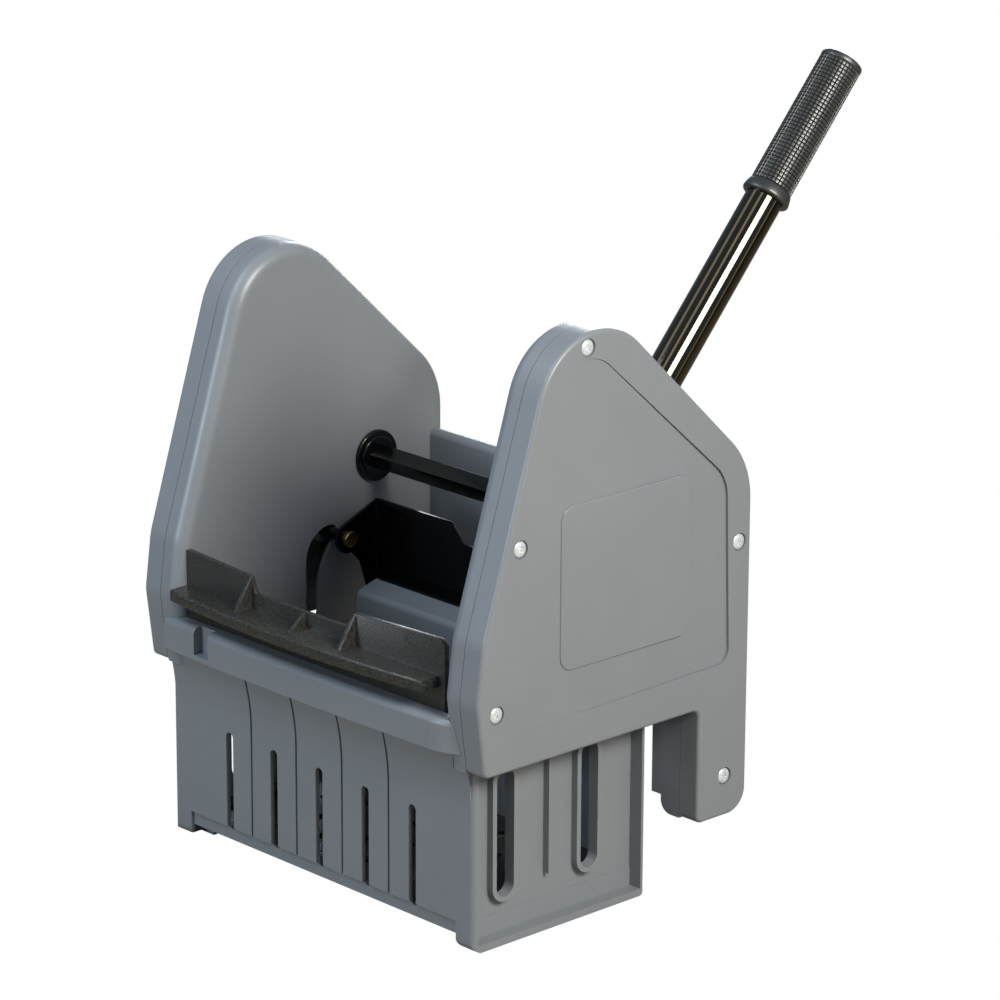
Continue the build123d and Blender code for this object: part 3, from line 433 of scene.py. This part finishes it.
def waffle_grip():
    """Models the grip: rows of small pillows, a flared smooth collar and a smooth rounded end."""
    waffle_low = GRIP_LOW + WAFFLE_START
    bpy.ops.object.select_all(action="DESELECT")
    bpy.ops.mesh.primitive_circle_add(vertices=WAFFLE_COLUMNS, radius=GROOVE_RADIUS, location=(0, 0, 0))
    grip = bpy.context.object
    bpy.ops.object.mode_set(mode="EDIT")
    bpy.ops.mesh.select_all(action="SELECT")
    for _ in range(WAFFLE_ROWS):
        bpy.ops.mesh.extrude_region_move(TRANSFORM_OT_translate={"value": (0, 0, WAFFLE_ROW_STEP)})
    bpy.ops.mesh.select_all(action="SELECT")
    bpy.ops.mesh.normals_make_consistent(inside=False)
    bpy.ops.mesh.select_mode(type="FACE")
    for thickness, depth in PILLOW_INSETS:
        bpy.ops.mesh.inset(thickness=thickness, depth=depth, use_individual=True)
    top = WAFFLE_ROWS * WAFFLE_ROW_STEP
    select_ring(grip, 0.0)
    lathe_end(GROOVE_RADIUS, COLLAR_RINGS)
    select_ring(grip, top)
    tail = GRIP_HIGH - waffle_low - top
    straight_ring = (END_RADIUS, tail - END_ROUNDED_LENGTH)
    lathe_end(GROOVE_RADIUS, [*END_FOOT_RINGS, straight_ring, *END_CAP_RINGS])
    bpy.ops.mesh.edge_face_add()
    bpy.ops.mesh.select_all(action="SELECT")
    bpy.ops.mesh.normals_make_consistent(inside=False)
    bpy.ops.object.mode_set(mode="OBJECT")
    across = Vector((1, 0, 0))
    third = LEVER_WAY.cross(across)
    turn = Matrix((across, third, LEVER_WAY)).transposed().to_4x4()
    grip.data.transform(Matrix.Translation(LEVER_FOOT + waffle_low * LEVER_WAY) @ turn)
    dress(grip, "waffle_grip", rubber, "lever", "grip_rubber", "handle_grip")


def pan_screw():
    """Models one pan-head screw with a cross recess, its seat at the origin and its head towards +Z."""
    bpy.ops.object.select_all(action="DESELECT")
    bpy.ops.mesh.primitive_cylinder_add(
        vertices=SCREW_SIDES,
        radius=SCREW_RADIUS,
        depth=SCREW_RIM,
        location=(0, 0, SCREW_RIM / 2),
    )
    screw = bpy.context.object
    bpy.ops.object.mode_set(mode="EDIT")
    select_faces(screw, lambda face: face.normal.z > FACING)
    for thickness, depth in SCREW_HEAD_INSETS:
        bpy.ops.mesh.inset(thickness=thickness, depth=depth)
    select_faces(screw, lambda face: face.normal.z < -FACING)
    bpy.ops.mesh.inset(thickness=SHANK_INSET, depth=0)
    bpy.ops.mesh.extrude_region_move(TRANSFORM_OT_translate={"value": (0, 0, -SHANK_LENGTH)})
    bpy.ops.object.mode_set(mode="OBJECT")
    for turn in (0, 90):
        bpy.ops.object.select_all(action="DESELECT")
        bpy.ops.mesh.primitive_cube_add(size=1, location=(0, 0, CROSS_HEIGHT))
        cutter = bpy.context.object
        bpy.ops.object.mode_set(mode="EDIT")
        bpy.ops.mesh.select_all(action="SELECT")
        bpy.ops.transform.resize(value=CROSS_SIZE)
        select_faces(cutter, lambda face: face.normal.z < -FACING)
        bpy.ops.transform.resize(value=CROSS_TAPER)
        bpy.ops.mesh.select_all(action="SELECT")
        bpy.ops.transform.rotate(value=math.radians(turn), orient_axis="Z", center_override=(0, 0, 0))
        bpy.ops.object.mode_set(mode="OBJECT")
        only(screw)
        cut = screw.modifiers.new("cross", "BOOLEAN")
        cut.operation = "DIFFERENCE"
        cut.object = cutter
        bpy.ops.object.modifier_apply(modifier=cut.name)
        bpy.data.objects.remove(cutter)
    return screw


def cover_screws(pattern, side, name, node):
    """Sets copies of a screw in one cover's recesses."""
    copies = []
    for place, turn in zip(SCREW_PLACES, SCREW_TURNS):
        copy = bpy.data.objects.new(name, pattern.data.copy())
        bpy.context.collection.objects.link(copy)
        seat = Matrix.Translation((side * (COVER_FACE_X - SCREW_SEAT), place[0], place[1]))
        tip = Matrix.Rotation(side * math.radians(90), 4, "Y")
        copy.data.transform(seat @ tip @ Matrix.Rotation(math.radians(turn), 4, "Z"))
        copies.append(copy)
    bpy.ops.object.select_all(action="DESELECT")
    for copy in copies:
        copy.select_set(True)
    bpy.context.view_layer.objects.active = copies[0]
    bpy.ops.object.join()
    dress(copies[0], name, zinc, "housing", "zinc_screws", node)


def soften(node, width):
    """Copies a solid's mesh, joins its triangles into whole faces and rounds its sharp edges."""
    soft = merged_copy(node, node + "_soft")
    bpy.ops.mesh.dissolve_limited(angle_limit=FLAT_ANGLE)
    bpy.ops.object.mode_set(mode="OBJECT")
    edge = soft.modifiers.new("edge", "BEVEL")
    edge.width = width
    edge.segments = EDGE_SEGMENTS
    edge.limit_method = "ANGLE"
    edge.angle_limit = SHARP_ANGLE
    edge.use_clamp_overlap = True
    bpy.ops.object.modifier_apply(modifier=edge.name)
    slot = slot_of[node]
    body = nodes[node]["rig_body"]
    dress(soft, node + "_soft", finishes[slot], body, slot, node)


def bend_spring():
    """Copies the return spring's mesh, merges its doubled points, smooths it and hides the original."""
    spring = merged_copy("return_spring", "return_spring_bent")
    bpy.ops.object.mode_set(mode="OBJECT")
    bpy.ops.object.shade_smooth_by_angle(angle=SMOOTH_ANGLE)
    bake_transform(spring)
    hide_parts("return_spring")


waffle_grip()
bend_spring()
pattern_screw = pan_screw()
cover_screws(pattern_screw, 1, "cover_screws_right_pan", "cover_screws_right")
cover_screws(pattern_screw, -1, "cover_screws_left_pan", "cover_screws_left")
bpy.data.objects.remove(pattern_screw)
soften("press_bracket", 0.0005)
soften("front_press_plate", 0.0005)
soften("cross_shaft", 0.0006)

# Studio: floor and surround that look white, a high key light, fills, and dim strips for the tube to mirror
WHITE = (1, 1, 1, 1)
FLOOR_SIZE = 24
FLOOR_HEIGHT = -0.0003
FLOOR_TONE = (0.26, 0.21, 0.15, 1)
SHADE_PLACE = (0, 0.029, -0.0001)
SHADE_SIZE = (0.22, 0.142)
SHADE_FADE_Y = (0.083, 0.1)
SHADE_TONE = (0.01, 0.01, 0.01, 1)
SURROUND_TONE = (0.62, 0.80, 1.0, 1)
SURROUND_STRENGTH = 0.30
LIT_TUBE_LENGTH = 0.13


def white_to_camera(tree, shaded, output):
    """Shows plain white to the camera and a shader to every other ray."""
    kind = "ShaderNodeBackground" if output.type == "OUTPUT_WORLD" else "ShaderNodeEmission"
    paper = tree.nodes.new(kind)
    paper.inputs["Color"].default_value = WHITE
    seen = tree.nodes.new("ShaderNodeLightPath")
    choice = tree.nodes.new("ShaderNodeMixShader")
    tree.links.new(seen.outputs["Is Camera Ray"], choice.inputs["Fac"])
    tree.links.new(shaded, choice.inputs[1])
    tree.links.new(paper.outputs[0], choice.inputs[2])
    tree.links.new(choice.outputs["Shader"], output.inputs["Surface"])


bpy.ops.object.select_all(action="DESELECT")
bpy.ops.mesh.primitive_plane_add(size=FLOOR_SIZE, location=(0, 0, FLOOR_HEIGHT))
floor = bpy.context.object
floor.name = "studio_floor"
floor_white, floor_tree, floor_shader = new_finish("studio_floor")
floor_shader.inputs["Base Color"].default_value = FLOOR_TONE
floor_shader.inputs["Roughness"].default_value = 0.7
white_to_camera(floor_tree, floor_shader.outputs["BSDF"], floor_tree.nodes["Material Output"])
floor.data.materials.append(floor_white)

# Shade on the floor under the basket, seen through the holes of the sieve, which fades out towards the rear
bpy.ops.object.select_all(action="DESELECT")
bpy.ops.mesh.primitive_plane_add(size=1, location=(0, 0, 0))
shade = bpy.context.object
shade.name = "basket_shade"
shade.data.transform(Matrix.Translation(SHADE_PLACE) @ Matrix.Diagonal((*SHADE_SIZE, 1, 1)))
shade_dark, shade_tree, shade_shader = new_finish("basket_shade")
shade_shader.inputs["Base Color"].default_value = SHADE_TONE
shade_shader.inputs["Roughness"].default_value = 0.9
shade_place = shade_tree.nodes.new("ShaderNodeTexCoord")
shade_axes = shade_tree.nodes.new("ShaderNodeSeparateXYZ")
shade_tree.links.new(shade_place.outputs["Object"], shade_axes.inputs["Vector"])
shade_fade = add_range(shade_tree, shade_axes.outputs["Y"], SHADE_FADE_Y, (1, 0))
shade_tree.links.new(shade_fade, shade_shader.inputs["Alpha"])
shade.data.materials.append(shade_dark)


def soft_box(name, place, aim, size, power, colour):
    """Adds a rectangular studio light that looks at a point, with its height along the lever."""
    light = bpy.data.lights.new(name, "AREA")
    light.shape = "RECTANGLE"
    light.size = size[0]
    light.size_y = size[1]
    light.energy = power
    light.color = colour
    lamp = bpy.data.objects.new(name, light)
    behind = (Vector(place) - Vector(aim)).normalized()
    sideways = LEVER_WAY.cross(behind).normalized()
    upward = behind.cross(sideways)
    turn = Matrix((sideways, upward, behind)).transposed().to_4x4()
    lamp.matrix_world = Matrix.Translation(place) @ turn
    bpy.context.collection.objects.link(lamp)


tube_middle = LEVER_FOOT + LIT_TUBE_LENGTH * LEVER_WAY
soft_box(
    "key_light",
    place=(1.459, -0.074, 1.083),
    aim=tube_middle,
    size=(0.69, 0.55),
    power=34,
    colour=(1.0, 0.965, 0.90),
)
soft_box(
    "left_strip",
    place=(-0.5, -0.47, 1.37),
    aim=tube_middle,
    size=(0.36, 0.5),
    power=0.75,
    colour=(1.0, 0.97, 0.9),
)
soft_box(
    "tan_strip",
    place=(0.55, -0.59, 1.50),
    aim=tube_middle,
    size=(0.28, 0.5),
    power=0.8,
    colour=(1.0, 0.85, 0.68),
)
soft_box(
    "olive_strip",
    place=(1.39, 0.75, 0.32),
    aim=tube_middle,
    size=(0.25, 0.5),
    power=0.4,
    colour=(1.0, 0.9, 0.4),
)
soft_box(
    "front_fill",
    place=(-0.45, -1.5, 0.62),
    aim=(0, 0, 0.25),
    size=(0.6, 0.5),
    power=8.5,
    colour=(0.80, 0.90, 1.0),
)
soft_box(
    "top_fill",
    place=(-0.25, -0.70, 1.1),
    aim=(0, 0, 0.25),
    size=(0.5, 0.5),
    power=4.5,
    colour=(0.72, 0.87, 1.0),
)
soft_box(
    "back_fill",
    place=(-1.1, 1.6, 0.9),
    aim=(0, 0, 0.2),
    size=(0.9, 0.9),
    power=22,
    colour=(0.92, 0.96, 1.0),
)

world = bpy.data.worlds.new("studio")
bpy.context.scene.world = world
world.use_nodes = True
surround = world.node_tree.nodes["Background"]
surround.inputs["Color"].default_value = SURROUND_TONE
surround.inputs["Strength"].default_value = SURROUND_STRENGTH
white_to_camera(world.node_tree, surround.outputs["Background"], world.node_tree.nodes["World Output"])
bpy.context.scene.view_settings.view_transform = "Standard"

# Camera at the photograph's place, turn and focal length
CAMERA_TURN = math.radians(46.69)
CAMERA_RISE = math.radians(17.17)
CAMERA_ROLL = math.radians(0.28)
CAMERA_PLACE = Vector((2.1096, -1.90246, 1.12916))
FOCAL_PIXELS = 4587
PICTURE_PIXELS = 1000
SENSOR_WIDTH = 36
FAR_LIMIT = 100
right = Vector((math.cos(CAMERA_TURN), math.sin(CAMERA_TURN), 0))
flat = math.cos(CAMERA_RISE)
back = Vector((flat * math.sin(CAMERA_TURN), -flat * math.cos(CAMERA_TURN), math.sin(CAMERA_RISE)))
up = back.cross(right)
camera_x = math.cos(CAMERA_ROLL) * right + math.sin(CAMERA_ROLL) * up
camera_y = math.cos(CAMERA_ROLL) * up - math.sin(CAMERA_ROLL) * right
lens = bpy.data.cameras.new("camera")
lens.sensor_width = SENSOR_WIDTH
lens.lens = FOCAL_PIXELS * SENSOR_WIDTH / PICTURE_PIXELS
lens.clip_end = FAR_LIMIT
camera = bpy.data.objects.new("camera", lens)
facing = Matrix((camera_x, camera_y, back)).transposed().to_4x4()
camera.matrix_world = Matrix.Translation(CAMERA_PLACE) @ facing
bpy.context.collection.objects.link(camera)
bpy.context.scene.camera = camera
